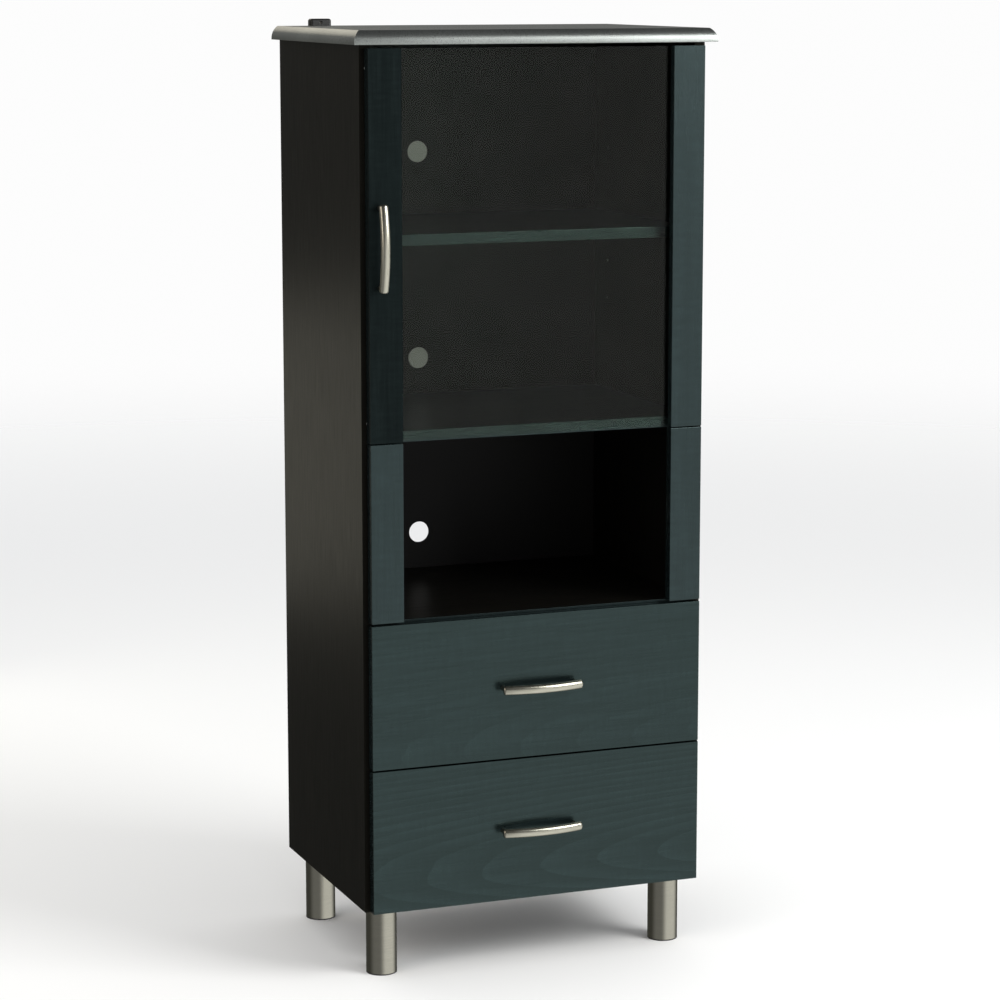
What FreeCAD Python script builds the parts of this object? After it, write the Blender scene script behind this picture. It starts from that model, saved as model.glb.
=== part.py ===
import FreeCAD, Part
import math
import os

import Sketcher

# Tall media cabinet on four round metal legs.
# Origin: bottom centre of the whole piece on the floor.  +Z up, the doors and drawers face -Y.

doc = FreeCAD.newDocument("media_cabinet")
sheet = doc.addObject("Spreadsheet::Sheet", "Dims")

# Driving dimensions in millimetres.
DIMENSIONS = [
    ("case_width", 583, "outside width over the two side panels"),
    ("case_depth", 406, "side panel depth, front edge to back edge"),
    ("leg_height", 115, "floor to the underside of the case"),
    ("side_height", 1378, "side panel height"),
    ("board", 17.5, "thickness of every laminated board"),
    ("top_thickness", 22, "top panel and its moulding"),
    ("top_overhang", 14, "top beyond each side panel"),
    ("top_proud", 1, "top moulding in front of the drawer faces"),
    ("moulding_width", 10.5, "width of the curved edge"),
    ("moulding_lip", 2, "straight lip under the curved edge"),
    ("back_thickness", 3, "hardboard back"),
    ("back_rebate", 8, "depth of the rebate that holds the back"),
    ("front_gap", 2.4, "gap behind the fronts, filled by the hinge leaves"),
    ("reveal", 8, "side panel edge left showing beside the fronts"),
    ("stile_width", 54, "door stiles and bay stiles"),
    ("drawer_front_height", 233.5, "height of each drawer front"),
    ("front_joint", 3, "gap between neighbouring fronts"),
    ("bay_floor_top", 590, "top of the floor of the open bay"),
    ("bay_height", 285, "clear height of the open bay"),
    ("door_height", 610.5, "door stiles"),
    ("door_lift", 2, "door above the underside of its compartment floor"),
    ("front_lift", 1, "lowest drawer front above the underside of the case"),
    ("shelf_top", 1199, "top of the adjustable shelf"),
    ("shelf_setback", 15, "shelf edge behind the case front"),
    ("side_play", 1, "play at each end of the adjustable shelf"),
    ("pin_radius", 2.5, "shelf pins"),
    ("pin_length", 17, "shelf pins"),
    ("pin_depth", 10, "shelf pin holes"),
    ("pin_pitch", 64, "spacing of the shelf pin holes"),
    ("cable_radius", 18, "cable holes in the back"),
    ("cable_offset", -52, "cable holes from the centre"),
    ("cable_low", 652, "cable hole height in the open bay"),
    ("cable_middle", 954, "cable hole height in the lower door space"),
    ("cable_high", 1304, "cable hole height in the upper door space"),
    ("leg_radius", 25, "legs"),
    ("leg_wall", 2, "leg tube wall"),
    ("leg_plate", 3, "closed top of each leg"),
    ("leg_spread", 250, "leg centres from the middle"),
    ("leg_front_inset", 42, "front leg centres behind the case front"),
    ("leg_rear_inset", 361, "rear leg centres behind the case front"),
    ("glide_height", 2, "plastic glide showing under each leg"),
    ("glide_plug", 12, "plug of each glide inside the tube"),
    ("stud_radius", 4, "leg studs"),
    ("stud_rise", 14, "leg stud inside the bottom panel"),
    ("stud_drop", 12, "leg stud inside the leg"),
    ("glass_thickness", 4, "door pane"),
    ("glass_rebate", 10, "rebate width in each door stile"),
    ("glass_play", 0.7, "play between pane and rebate"),
    ("clip_length", 20, "glass clips, across the joint"),
    ("clip_height", 14, "glass clips"),
    ("clip_thickness", 2, "glass clips"),
    ("clip_overlap", 5, "glass clip over the pane"),
    ("leaf_margin", 0.5, "case leaf outside the inner face of the side panel"),
    ("hinge_height", 60, "hinge leaves"),
    ("hinge_inset", 90, "hinge centres from the door ends"),
    ("leaf_thickness", 0.9, "hinge leaves"),
    ("knuckle_radius", 3, "hinge barrels"),
    ("hinge_pin_radius", 1.4, "hinge pins"),
    ("knuckle_play", 0.05, "radial play of the moving knuckle"),
    ("knuckle_joint", 0.3, "axial gap between knuckles"),
    ("knuckle_space", 0.4, "space round a knuckle in the opposite leaf"),
    ("axis_side", 3.75, "hinge axis outside the door edge"),
    ("axis_forward", 3.4, "hinge axis in front of the case edge"),
    ("leaf_reach", 20, "door leaf over the back of the stile"),
    ("screw_head_radius", 3, "flat-head wood screws"),
    ("screw_head", 0.9, "flat-head wood screws"),
    ("screw_radius", 1.5, "flat-head wood screws"),
    ("screw_length", 13, "flat-head wood screws"),
    ("screw_play", 0.1, "clearance round a screw head"),
    ("cam_radius", 7.5, "cam locks"),
    ("cam_height", 12.5, "cam locks"),
    ("cam_setback", 24, "cam centre from the end of its board"),
    ("cam_bolt_radius", 3.5, "cam bolts"),
    ("cam_bolt_bite", 11, "cam bolt inside the mating board"),
    ("cam_inset", 55, "cam bolts and shelf pins from the front and back of the case"),
    ("handle_length", 136, "bow handles, end to end along the middle of the bar"),
    ("handle_reach", 33, "bow handles, front of the bow to the face"),
    ("bow_rise", 10, "rise of the bow between its ends"),
    ("grip_height", 15, "bar of the handles"),
    ("grip_depth", 12, "bar of the handles"),
    ("grip_round", 4, "rounded ends of the bar"),
    ("post_pitch", 124, "handle posts"),
    ("post_radius", 4.2, "handle posts"),
    ("handle_bolt_radius", 2, "handle bolts"),
    ("handle_bolt_play", 0.3, "clearance round a handle bolt in its front"),
    ("handle_bolt_bite", 9, "handle bolt inside its post"),
    ("handle_bolt_head", 2.5, "handle bolts"),
    ("handle_bolt_head_radius", 4.5, "handle bolts"),
    ("door_handle_offset", 17.5, "door handle from the outer edge of its stile"),
    ("runner_space", 12.5, "gap beside a drawer box"),
    ("runner_height", 32, "fixed drawer runners"),
    ("runner_depth", 10.1, "fixed drawer runners"),
    ("runner_wall", 1.2, "fixed drawer runners"),
    ("runner_length", 350, "fixed drawer runners"),
    ("runner_setback", 4, "front end of each runner and guide behind the edge it starts from"),
    ("runner_rise", 40, "runner centre above the drawer box"),
    ("guide_play", 0.3, "running play of the drawer guide"),
    ("guide_wall", 2.5, "drawer guides"),
    ("box_depth", 360, "drawer boxes"),
    ("box_height", 150, "drawer boxes"),
    ("box_lift", 30, "drawer box above the bottom of its front"),
    ("box_board", 12, "drawer sides and backs"),
    ("box_floor", 3, "drawer bottoms"),
    ("groove_lift", 10, "drawer bottom above the box edge"),
    ("groove_depth", 5, "grooves for the drawer bottoms"),
    ("catch_width", 14, "magnetic catch"),
    ("catch_depth", 38, "magnetic catch"),
    ("catch_height", 46, "magnetic catch"),
    ("catch_level", 1340, "magnetic catch centre"),
    ("catch_proud", 1.2, "magnetic catch in front of the case edge"),
    ("strike_thickness", 1, "steel plate that the catch holds"),
    ("bumper_radius", 5, "door bumpers"),
    ("bumper_thickness", 1.9, "door bumpers"),
    ("bumper_inset", 30, "door bumpers from the door ends"),
    ("bracket_width", 36, "anti-tip bracket"),
    ("bracket_depth", 15, "anti-tip bracket"),
    ("bracket_height", 11.5, "anti-tip bracket"),
    ("bracket_offset", -224, "anti-tip bracket centre"),
    ("bracket_round", 4, "rounded edges of the anti-tip bracket"),
    ("strap_radius", 2.5, "strap hole in the anti-tip bracket"),
    ("nail_radius", 0.9, "nails of the back"),
    ("nail_head_radius", 2.2, "nails of the back"),
    ("nail_length", 16, "nails of the back"),
]
for row, (alias, size, meaning) in enumerate(DIMENSIONS, start=1):
    sheet.set(f"A{row}", alias)
    sheet.set(f"B{row}", str(size))
    sheet.set(f"C{row}", meaning)
    sheet.setAlias(f"B{row}", alias)
doc.recompute()

# Planes of the cabinet, as expressions of the driving dimensions.
CASE_HALF = "(Dims.case_width / 2)"
INNER_HALF = "(Dims.case_width / 2 - Dims.board)"
FRONT_HALF = "(Dims.case_width / 2 - Dims.reveal)"
STILE_INNER = f"({FRONT_HALF} - Dims.stile_width)"
TOP_HALF = "(Dims.case_width / 2 + Dims.top_overhang)"
BACK_Y = "((Dims.case_depth + Dims.front_gap + Dims.board + Dims.handle_reach) / 2)"
PANEL_Y = f"({BACK_Y} - Dims.back_thickness)"
CASE_Y = f"({BACK_Y} - Dims.case_depth)"
LINE_Y = f"({CASE_Y} - Dims.front_gap)"
FACE_Y = f"({LINE_Y} - Dims.board)"
TOP_Y = f"({FACE_Y} - Dims.top_proud)"
CASE_Z = "Dims.leg_height"
ROOF_Z = "(Dims.leg_height + Dims.side_height)"
TOP_Z = f"({ROOF_Z} + Dims.top_thickness)"
BAY_Z = "Dims.bay_floor_top"
BAY_ROOF_Z = "(Dims.bay_floor_top + Dims.bay_height)"
DOOR_Z = f"({BAY_ROOF_Z} + Dims.door_lift)"
DOOR_TOP_Z = f"({DOOR_Z} + Dims.door_height)"
DOOR_FLOOR_Z = f"({BAY_ROOF_Z} + Dims.board)"
SHELF_Z = "(Dims.shelf_top - Dims.board)"
CATCH_Z = "(Dims.catch_level - Dims.catch_height / 2)"
HINGE_X = f"({FRONT_HALF} + Dims.axis_side)"
HINGE_Y = f"({CASE_Y} - Dims.axis_forward)"
BOX_HALF = f"({INNER_HALF} - Dims.runner_space)"
BOX_INNER = f"({BOX_HALF} - Dims.box_board)"
BOX_REAR_Y = f"({LINE_Y} + Dims.box_depth)"
GRIP_OUT = "(Dims.handle_reach - Dims.grip_depth / 2 - Dims.bow_rise)"
BOW_RADIUS = "((Dims.handle_length ^ 2 / 4 + Dims.bow_rise ^ 2) / (2 * Dims.bow_rise))"
BOLT_HOLE_RADIUS = "Dims.handle_bolt_radius + Dims.handle_bolt_play"
FIXING_ROWS = (f"{CASE_Y} + Dims.cam_inset", f"{PANEL_Y} - Dims.cam_inset")

nodes = []
X_AXIS = FreeCAD.Vector(1, 0, 0)
Y_AXIS = FreeCAD.Vector(0, 1, 0)
Z_AXIS = FreeCAD.Vector(0, 0, 1)
AIM = {
    "z": FreeCAD.Rotation(),
    "x": FreeCAD.Rotation(Y_AXIS, 90),
    "-x": FreeCAD.Rotation(Y_AXIS, -90),
    "y": FreeCAD.Rotation(X_AXIS, -90),
    "-y": FreeCAD.Rotation(X_AXIS, 90),
    "-z": FreeCAD.Rotation(X_AXIS, 180),
}


def number(expression):
    return float(sheet.evalExpression(expression))


def keep(obj, label):
    """Make an object a named piece of the cabinet."""
    obj.Label = label
    nodes.append(obj)
    return obj


def place(obj, x, y, z):
    for axis, expression in (("x", x), ("y", y), ("z", z)):
        obj.setExpression(f".Placement.Base.{axis}", str(expression))
    return obj


def block(name, x, y, z):
    """A board between two planes in each direction."""
    box = doc.addObject("Part::Box", name)
    for side, (low, high) in (("Length", x), ("Width", y), ("Height", z)):
        box.setExpression(side, f"({high}) - ({low})")
    return place(box, x[0], y[0], z[0])


def rod(name, radius, length, at, aim="z"):
    """A round bar that starts at a point and runs along the given direction."""
    bar = doc.addObject("Part::Cylinder", name)
    bar.setExpression("Radius", radius)
    bar.setExpression("Height", length)
    bar.Placement.Rotation = AIM[aim]
    return place(bar, *at)


def join(name, pieces):
    solid = doc.addObject("Part::MultiFuse", name)
    solid.Shapes = pieces
    return solid


def cut(name, base, tools):
    """The base with every tool taken out of it."""
    tool = tools[0] if len(tools) == 1 else join(name + "_tools", tools)
    result = doc.addObject("Part::Cut", name)
    result.Base = base
    result.Tool = tool
    return result


def group(name, pieces):
    """Identical loose pieces that share one node."""
    bundle = doc.addObject("Part::Compound", name)
    bundle.Links = pieces
    return bundle


def mirror(source, name):
    """The right-hand twin of a left-hand piece."""
    twin = doc.addObject("Part::Mirroring", name)
    twin.Source = source
    twin.Normal = X_AXIS
    return twin


def sketch_on(body, role, name):
    sketch = body.newObject("Sketcher::SketchObject", name)
    plane = [f for f in body.Origin.OriginFeatures if f.Role == role][0]
    sketch.AttachmentSupport = [(plane, "")]
    sketch.MapMode = "FlatFace"
    return sketch


def pin_point(sketch, geometry, end, x, y):
    """Hold one end of an edge at a pair of coordinates."""
    for kind, expression in (("DistanceX", x), ("DistanceY", y)):
        where = sketch.addConstraint(
            Sketcher.Constraint(kind, -1, 1, geometry, end, number(expression))
        )
        sketch.setExpression(f"Constraints[{where}]", expression)


def outline(sketch, corners):
    """A closed outline of straight edges through corners given as expressions."""
    points = [FreeCAD.Vector(number(x), number(y), 0) for x, y in corners]
    count = len(points)
    first = sketch.GeometryCount
    for index in range(count):
        edge = Part.LineSegment(points[index], points[(index + 1) % count])
        sketch.addGeometry(edge, False)
    for index in range(count):
        follower = first + (index + 1) % count
        sketch.addConstraint(Sketcher.Constraint("Coincident", first + index, 2, follower, 1))
    for index, (x, y) in enumerate(corners):
        pin_point(sketch, first + index, 1, x, y)


def ring(sketch, radius, x, y):
    """A circle bound to a radius and a centre."""
    centre = FreeCAD.Vector(number(x), number(y), 0)
    circle = sketch.addGeometry(Part.Circle(centre, Z_AXIS, number(radius)), False)
    where = sketch.addConstraint(Sketcher.Constraint("Radius", circle, number(radius)))
    sketch.setExpression(f"Constraints[{where}]", radius)
    pin_point(sketch, circle, 3, x, y)


def pad(body, sketch, length, both=False, reversed_side=False):
    feature = body.newObject("PartDesign::Pad", sketch.Name + "_pad")
    feature.Profile = sketch
    feature.setExpression("Length", length)
    feature.Midplane = both
    feature.Reversed = reversed_side
    doc.recompute()
    return feature


def pocket(body, sketch, length=None):
    """Cut a sketch out of the body, right through it when no depth is given."""
    feature = body.newObject("PartDesign::Pocket", sketch.Name + "_pocket")
    feature.Profile = sketch
    before = body.Shape.Volume
    if length is None:
        feature.Type = "ThroughAll"
        feature.Midplane = True
    else:
        feature.setExpression("Length", length)
    doc.recompute()
    if length is not None and feature.Shape.Volume > before - 1e-6:
        feature.Reversed = True
        doc.recompute()
    assert feature.Shape.Volume < before - 1e-6, sketch.Name
    return feature


def screw(name, at, aim):
    """A flat-head wood screw whose head lies flush at the given point."""
    head = rod(name + "_head", "Dims.screw_head_radius", "Dims.screw_head", at, aim)
    shank = rod(name + "_shank", "Dims.screw_radius", "Dims.screw_length", at, aim)
    return join(name, [head, shank])


def screw_hole(name, at, aim, depth):
    """Clearance for the head of a wood screw through a thin piece of metal or plastic."""
    return rod(name, "Dims.screw_head_radius + Dims.screw_play", depth, at, aim)


# ---------------------------------------------------------------- top panel and its moulding
keep(
    block(
        "top_panel",
        (f"-({TOP_HALF} - Dims.moulding_width)", f"{TOP_HALF} - Dims.moulding_width"),
        (f"{TOP_Y} + Dims.moulding_width", BACK_Y),
        (ROOF_Z, TOP_Z),
    ),
    "top_panel",
)


def moulding(name, length, mitred_ends):
    """A length of curved edge: joint face at local X = 0, its curve towards local +X."""
    body = doc.addObject("PartDesign::Body", name)
    profile = sketch_on(body, "XZ_Plane", name + "_profile")
    width = number("Dims.moulding_width")
    lip = number("Dims.moulding_lip")
    height = number("Dims.top_thickness")
    rise = height - lip
    radius = (width**2 + rise**2) / (2 * width)
    centre = FreeCAD.Vector(width - radius, lip, 0)
    corners = [(0, height), (0, 0), (width, 0), (width, lip)]
    points = [FreeCAD.Vector(x, y, 0) for x, y in corners]
    for start, end in zip(points, points[1:]):
        profile.addGeometry(Part.LineSegment(start, end), False)
    sweep = math.atan2(rise, radius - width)
    curve = Part.ArcOfCircle(Part.Circle(centre, Z_AXIS, radius), 0, sweep)
    profile.addGeometry(curve, False)
    for first, second in ((0, 1), (1, 2)):
        profile.addConstraint(Sketcher.Constraint("Coincident", first, 2, second, 1))
    profile.addConstraint(Sketcher.Constraint("Tangent", 2, 2, 3, 1))
    profile.addConstraint(Sketcher.Constraint("Coincident", 3, 2, 0, 1))
    pin_point(profile, 0, 1, "0", "Dims.top_thickness")
    pin_point(profile, 0, 2, "0", "0")
    pin_point(profile, 1, 2, "Dims.moulding_width", "0")
    pin_point(profile, 2, 2, "Dims.moulding_width", "Dims.moulding_lip")
    pad(body, profile, length, both=True)
    for end in mitred_ends:
        half = f"{end} * ({length}) / 2"
        past = f"{end} * (({length}) / 2 + Dims.moulding_width)"
        inner = f"{end} * (({length}) / 2 - Dims.moulding_width)"
        corner = sketch_on(body, "XY_Plane", f"{name}_mitre_{'front' if end < 0 else 'rear'}")
        outline(corner, [("0", inner), ("Dims.moulding_width", half), ("0", past)])
        pocket(body, corner)
    return body


front_length = f"2 * {TOP_HALF}"
side_length = f"({BACK_Y} - {TOP_Y})"
front_edge = moulding("top_moulding_front", front_length, (-1, 1))
front_edge.Placement.Rotation = FreeCAD.Rotation(Z_AXIS, -90)
place(front_edge, "0", f"{TOP_Y} + Dims.moulding_width", ROOF_Z)
keep(front_edge, "top_moulding_front")
left_edge = moulding("top_moulding_left", side_length, (1,))
left_edge.Placement.Rotation = FreeCAD.Rotation(Z_AXIS, 180)
place(left_edge, f"-({TOP_HALF} - Dims.moulding_width)", f"({BACK_Y} + {TOP_Y}) / 2", ROOF_Z)
keep(left_edge, "top_moulding_left")
keep(mirror(left_edge, "right_edge"), "top_moulding_right")

# ------------------------------------------- cam joints between the boards and the side panels
cam_locks = []
cam_bolts = []
board_holes = {}
side_holes = []


def cam_joint(board, row, side, y, underside):
    """A cam in the underside of a board and its bolt into the side panel."""
    sign = -1 if side == "left" else 1
    middle = f"{underside} + Dims.board / 2"
    tag = f"{board}_{side}_{row}"
    cam_x = f"{sign} * ({INNER_HALF} - Dims.cam_setback)"
    inner_x = f"{sign} * ({INNER_HALF} - Dims.cam_setback + Dims.cam_radius)"
    outer_x = f"{sign} * {INNER_HALF}"
    outward = "-x" if side == "left" else "x"
    reach = "Dims.cam_setback - Dims.cam_radius"
    cam_locks.append(
        rod(f"cam_{tag}", "Dims.cam_radius", "Dims.cam_height", (cam_x, y, underside))
    )
    cam_bolts.append(
        rod(f"bolt_{tag}", "Dims.cam_bolt_radius", f"{reach} + Dims.cam_bolt_bite",
            (inner_x, y, middle), outward)
    )
    board_holes.setdefault(board, []).extend([
        rod(f"cam_seat_{tag}", "Dims.cam_radius", "Dims.cam_height", (cam_x, y, underside)),
        rod(f"bolt_bore_{tag}", "Dims.cam_bolt_radius", "Dims.cam_setback",
            (cam_x, y, middle), outward),
    ])
    if side == "left":
        side_holes.append(
            rod(f"bolt_hole_{tag}", "Dims.cam_bolt_radius", "Dims.cam_bolt_bite",
                (outer_x, y, middle), outward)
        )


def fixed_board(name, underside):
    """A board held between the side panels by four cams."""
    for side in ("left", "right"):
        for row, y in zip(("front", "rear"), FIXING_ROWS):
            cam_joint(name, row, side, y, underside)
    blank = block(
        name + "_blank",
        (f"-{INNER_HALF}", INNER_HALF),
        (CASE_Y, PANEL_Y),
        (underside, f"{underside} + Dims.board"),
    )
    return cut(name, blank, board_holes[name])


leg_points = {
    f"{depth}_{side}": (f"{sign} * Dims.leg_spread", f"{CASE_Y} + Dims.leg_{depth}_inset")
    for depth in ("front", "rear")
    for side, sign in (("left", -1), ("right", 1))
}
stud_holes = [
    rod(f"stud_hole_{where}", "Dims.stud_radius", "Dims.stud_rise", (x, y, CASE_Z))
    for where, (x, y) in leg_points.items()
]
bottom = fixed_board("bottom_board", CASE_Z)
keep(cut("bottom_panel", bottom, stud_holes), "bottom_panel")
keep(fixed_board("bay_floor", f"({BAY_Z} - Dims.board)"), "bay_floor")
keep(fixed_board("door_floor", BAY_ROOF_Z), "door_compartment_floor")
keep(group("cam_locks", cam_locks), "cam_locks")
keep(group("cam_bolts", cam_bolts), "cam_bolts")

# ------------------------------------------------------------------------------- side panels
PIN_STEPS = (-2, -1, 0, 1, 2)
pin_level = f"({SHELF_Z} - Dims.pin_radius)"
for step in PIN_STEPS:
    for row, y in zip(("front", "rear"), FIXING_ROWS):
        side_holes.append(
            rod(f"pin_hole_{row}_{step + 2}", "Dims.pin_radius", "Dims.pin_depth",
                (f"-{INNER_HALF}", y, f"{pin_level} + {step} * Dims.pin_pitch"), "-x")
        )
side_blank = block(
    "side_blank", (f"-{CASE_HALF}", f"-{INNER_HALF}"), (CASE_Y, BACK_Y), (CASE_Z, ROOF_Z)
)
back_rebate = block(
    "back_rebate_cut",
    (f"-{INNER_HALF} - Dims.back_rebate", f"-{INNER_HALF}"),
    (PANEL_Y, BACK_Y),
    (CASE_Z, ROOF_Z),
)
left_panel = cut("side_panel_left", side_blank, [back_rebate] + side_holes)
keep(left_panel, "side_panel_left")
keep(mirror(left_panel, "side_panel_right"), "side_panel_right")

# ---------------------------------------------------------------- adjustable shelf and its pins
keep(
    block(
        "adjustable_shelf",
        (f"-({INNER_HALF} - Dims.side_play)", f"{INNER_HALF} - Dims.side_play"),
        (f"{CASE_Y} + Dims.shelf_setback", f"{PANEL_Y} - Dims.side_play"),
        (SHELF_Z, "Dims.shelf_top"),
    ),
    "adjustable_shelf",
)
shelf_pins = [
    rod(f"shelf_pin_{side}_{row}", "Dims.pin_radius", "Dims.pin_length",
        (f"{sign} * ({INNER_HALF} + Dims.pin_depth)", y, pin_level), aim)
    for side, sign, aim in (("left", -1, "x"), ("right", 1, "-x"))
    for row, y in zip(("front", "rear"), FIXING_ROWS)
]
keep(group("shelf_pins", shelf_pins), "shelf_pins")

# -------------------------------------------------- hardboard back, its cable holes and nails
BACK_HALF = f"({INNER_HALF} + Dims.back_rebate)"
back_blank = block(
    "back_blank", (f"-{BACK_HALF}", BACK_HALF), (PANEL_Y, BACK_Y), (CASE_Z, ROOF_Z)
)
cable_holes = [
    rod(f"cable_hole_{level}", "Dims.cable_radius", "Dims.back_thickness",
        ("Dims.cable_offset", PANEL_Y, f"Dims.cable_{level}"), "y")
    for level in ("low", "middle", "high")
]
keep(cut("back_panel", back_blank, cable_holes), "back_panel")
NAIL_GAPS = 8
NAIL_MARGIN = 40
nails = []
for side in (-1, 1):
    for index in range(NAIL_GAPS + 1):
        spacing = f"(Dims.side_height - {2 * NAIL_MARGIN}) / {NAIL_GAPS}"
        at = (
            f"{side} * ({INNER_HALF} + Dims.back_rebate / 2)",
            BACK_Y,
            f"{CASE_Z} + {NAIL_MARGIN} + {index} * {spacing}",
        )
        tag = f"{'left' if side < 0 else 'right'}_{index}"
        shank = rod(f"nail_shank_{tag}", "Dims.nail_radius", "Dims.nail_length", at, "-y")
        head = rod(f"nail_head_{tag}", "Dims.nail_head_radius", "Dims.nail_radius", at, "-y")
        nails.append(join(f"nail_{tag}", [shank, head]))
keep(group("back_nails", nails), "back_nails")

# --------------------------------------------- fixed stiles beside the open bay, with battens
left_stile = block(
    "bay_stile_left",
    (f"-{FRONT_HALF}", f"-{STILE_INNER}"),
    (FACE_Y, LINE_Y),
    (BAY_Z, BAY_ROOF_Z),
)
keep(left_stile, "bay_stile_left")
keep(mirror(left_stile, "bay_stile_right"), "bay_stile_right")
BATTEN_DEPTH = 38
battens = [
    block(
        f"batten_{side}",
        (low, high),
        (LINE_Y, f"{CASE_Y} + {BATTEN_DEPTH}"),
        (BAY_Z, BAY_ROOF_Z),
    )
    for side, low, high in (
        ("left", f"-{INNER_HALF}", f"-{INNER_HALF} + Dims.board"),
        ("right", f"{INNER_HALF} - Dims.board", INNER_HALF),
    )
]
keep(group("bay_stile_battens", battens), "bay_stile_battens")

# ------------------------------------------------------------------ legs, studs and glides


def leg(name, x, y):
    """A tube closed at its top by a plate with a hole for the stud."""
    body = doc.addObject("PartDesign::Body", name)
    tube = sketch_on(body, "XY_Plane", name + "_tube")
    ring(tube, "Dims.leg_radius", "0", "0")
    height = "(Dims.leg_height - Dims.glide_height)"
    pad(body, tube, height)
    hollow = sketch_on(body, "XY_Plane", name + "_hollow")
    ring(hollow, "Dims.leg_radius - Dims.leg_wall", "0", "0")
    pocket(body, hollow, f"{height} - Dims.leg_plate")
    stud = sketch_on(body, "XY_Plane", name + "_stud_hole")
    ring(stud, "Dims.stud_radius", "0", "0")
    pocket(body, stud)
    return place(body, x, y, "Dims.glide_height")


studs = []
glides = []
for where, (x, y) in leg_points.items():
    keep(leg(f"leg_{where}", x, y), f"leg_{where}")
    studs.append(
        rod(f"stud_{where}", "Dims.stud_radius", "Dims.stud_rise + Dims.stud_drop",
            (x, y, f"{CASE_Z} - Dims.stud_drop"))
    )
    foot = rod(f"foot_{where}", "Dims.leg_radius", "Dims.glide_height", (x, y, "0"))
    plug = rod(f"plug_{where}", "Dims.leg_radius - Dims.leg_wall",
               "Dims.glide_height + Dims.glide_plug", (x, y, "0"))
    glides.append(join(f"glide_{where}", [foot, plug]))
keep(group("leg_studs", studs), "leg_studs")
keep(group("leg_glides", glides), "leg_glides")

# ------------------------------------------------------ anti-tip bracket on the top's back edge
bracket = doc.addObject("PartDesign::Body", "anti_tip_bracket")
bracket_side = sketch_on(bracket, "XY_Plane", "bracket_plan")
outline(bracket_side, [
    ("-Dims.bracket_width / 2", "-Dims.bracket_depth"),
    ("Dims.bracket_width / 2", "-Dims.bracket_depth"),
    ("Dims.bracket_width / 2", "0"),
    ("-Dims.bracket_width / 2", "0"),
])
bracket_block = pad(bracket, bracket_side, "Dims.bracket_height")
# The edges round its front and along its ends are soft; those on the top panel stay sharp.
soft_edges = []
for index, edge in enumerate(bracket_block.Shape.Edges, start=1):
    box = edge.BoundBox
    in_front = box.YMax < -number("Dims.bracket_depth") / 2 and box.ZMax > 1
    on_the_ends = box.ZMin > 1 and box.YLength > 1
    if in_front or on_the_ends:
        soft_edges.append(f"Edge{index}")
rounding = bracket.newObject("PartDesign::Fillet", "bracket_rounding")
rounding.Base = (bracket_block, soft_edges)
rounding.setExpression("Radius", "Dims.bracket_round")
doc.recompute()
strap = sketch_on(bracket, "XZ_Plane", "bracket_strap_hole")
ring(strap, "Dims.strap_radius", "0", "Dims.bracket_height / 2")
pocket(bracket, strap)
place(bracket, "Dims.bracket_offset", BACK_Y, TOP_Z)
keep(bracket, "anti_tip_bracket")

# ------------------------------------------------------------------------- magnetic door catch
catch_front = f"({CASE_Y} - Dims.catch_proud)"
keep(
    block(
        "magnetic_catch",
        (f"-{INNER_HALF}", f"-{INNER_HALF} + Dims.catch_width"),
        (catch_front, f"{catch_front} + Dims.catch_depth"),
        (CATCH_Z, f"{CATCH_Z} + Dims.catch_height"),
    ),
    "magnetic_catch",
)
keep(
    block(
        "catch_strike",
        (f"-{INNER_HALF}", f"-{INNER_HALF} + Dims.catch_width"),
        (LINE_Y, f"{LINE_Y} + Dims.strike_thickness"),
        (CATCH_Z, f"{CATCH_Z} + Dims.catch_height"),
    ),
    "catch_strike",
)

# ------------------------------------------------------------------- door stiles, pane and clips
door_blank = block(
    "door_stile_blank",
    (f"-{FRONT_HALF}", f"-{STILE_INNER}"),
    (FACE_Y, LINE_Y),
    (DOOR_Z, DOOR_TOP_Z),
)
pane_rebate = block(
    "pane_rebate_cut",
    (f"-{STILE_INNER} - Dims.glass_rebate", f"-{STILE_INNER}"),
    (f"{LINE_Y} - Dims.glass_thickness", LINE_Y),
    (DOOR_Z, DOOR_TOP_Z),
)
handle_x = f"-({FRONT_HALF} - Dims.door_handle_offset)"
door_middle = f"({DOOR_Z} + Dims.door_height / 2)"
door_bolt_holes = [
    rod(f"door_bolt_hole_{end}", BOLT_HOLE_RADIUS, "Dims.board",
        (handle_x, FACE_Y, f"{door_middle} + {sign} * Dims.post_pitch / 2"), "y")
    for end, sign in (("low", -1), ("high", 1))
]
plain_stile = cut("door_stile_plain", door_blank, [pane_rebate])
keep(cut("door_stile_left", plain_stile, door_bolt_holes), "door_stile_left")
keep(mirror(plain_stile, "door_stile_right"), "door_stile_right")
pane_half = f"({STILE_INNER} + Dims.glass_rebate - Dims.glass_play)"
keep(
    block(
        "door_glass",
        (f"-{pane_half}", pane_half),
        (f"{LINE_Y} - Dims.glass_thickness", LINE_Y),
        (f"{DOOR_Z} + Dims.glass_play", f"{DOOR_TOP_Z} - Dims.glass_play"),
    ),
    "door_glass",
)
clips = []
door_screws = []
CLIP_LEVELS = (0.07, 0.5, 0.93)
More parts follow.
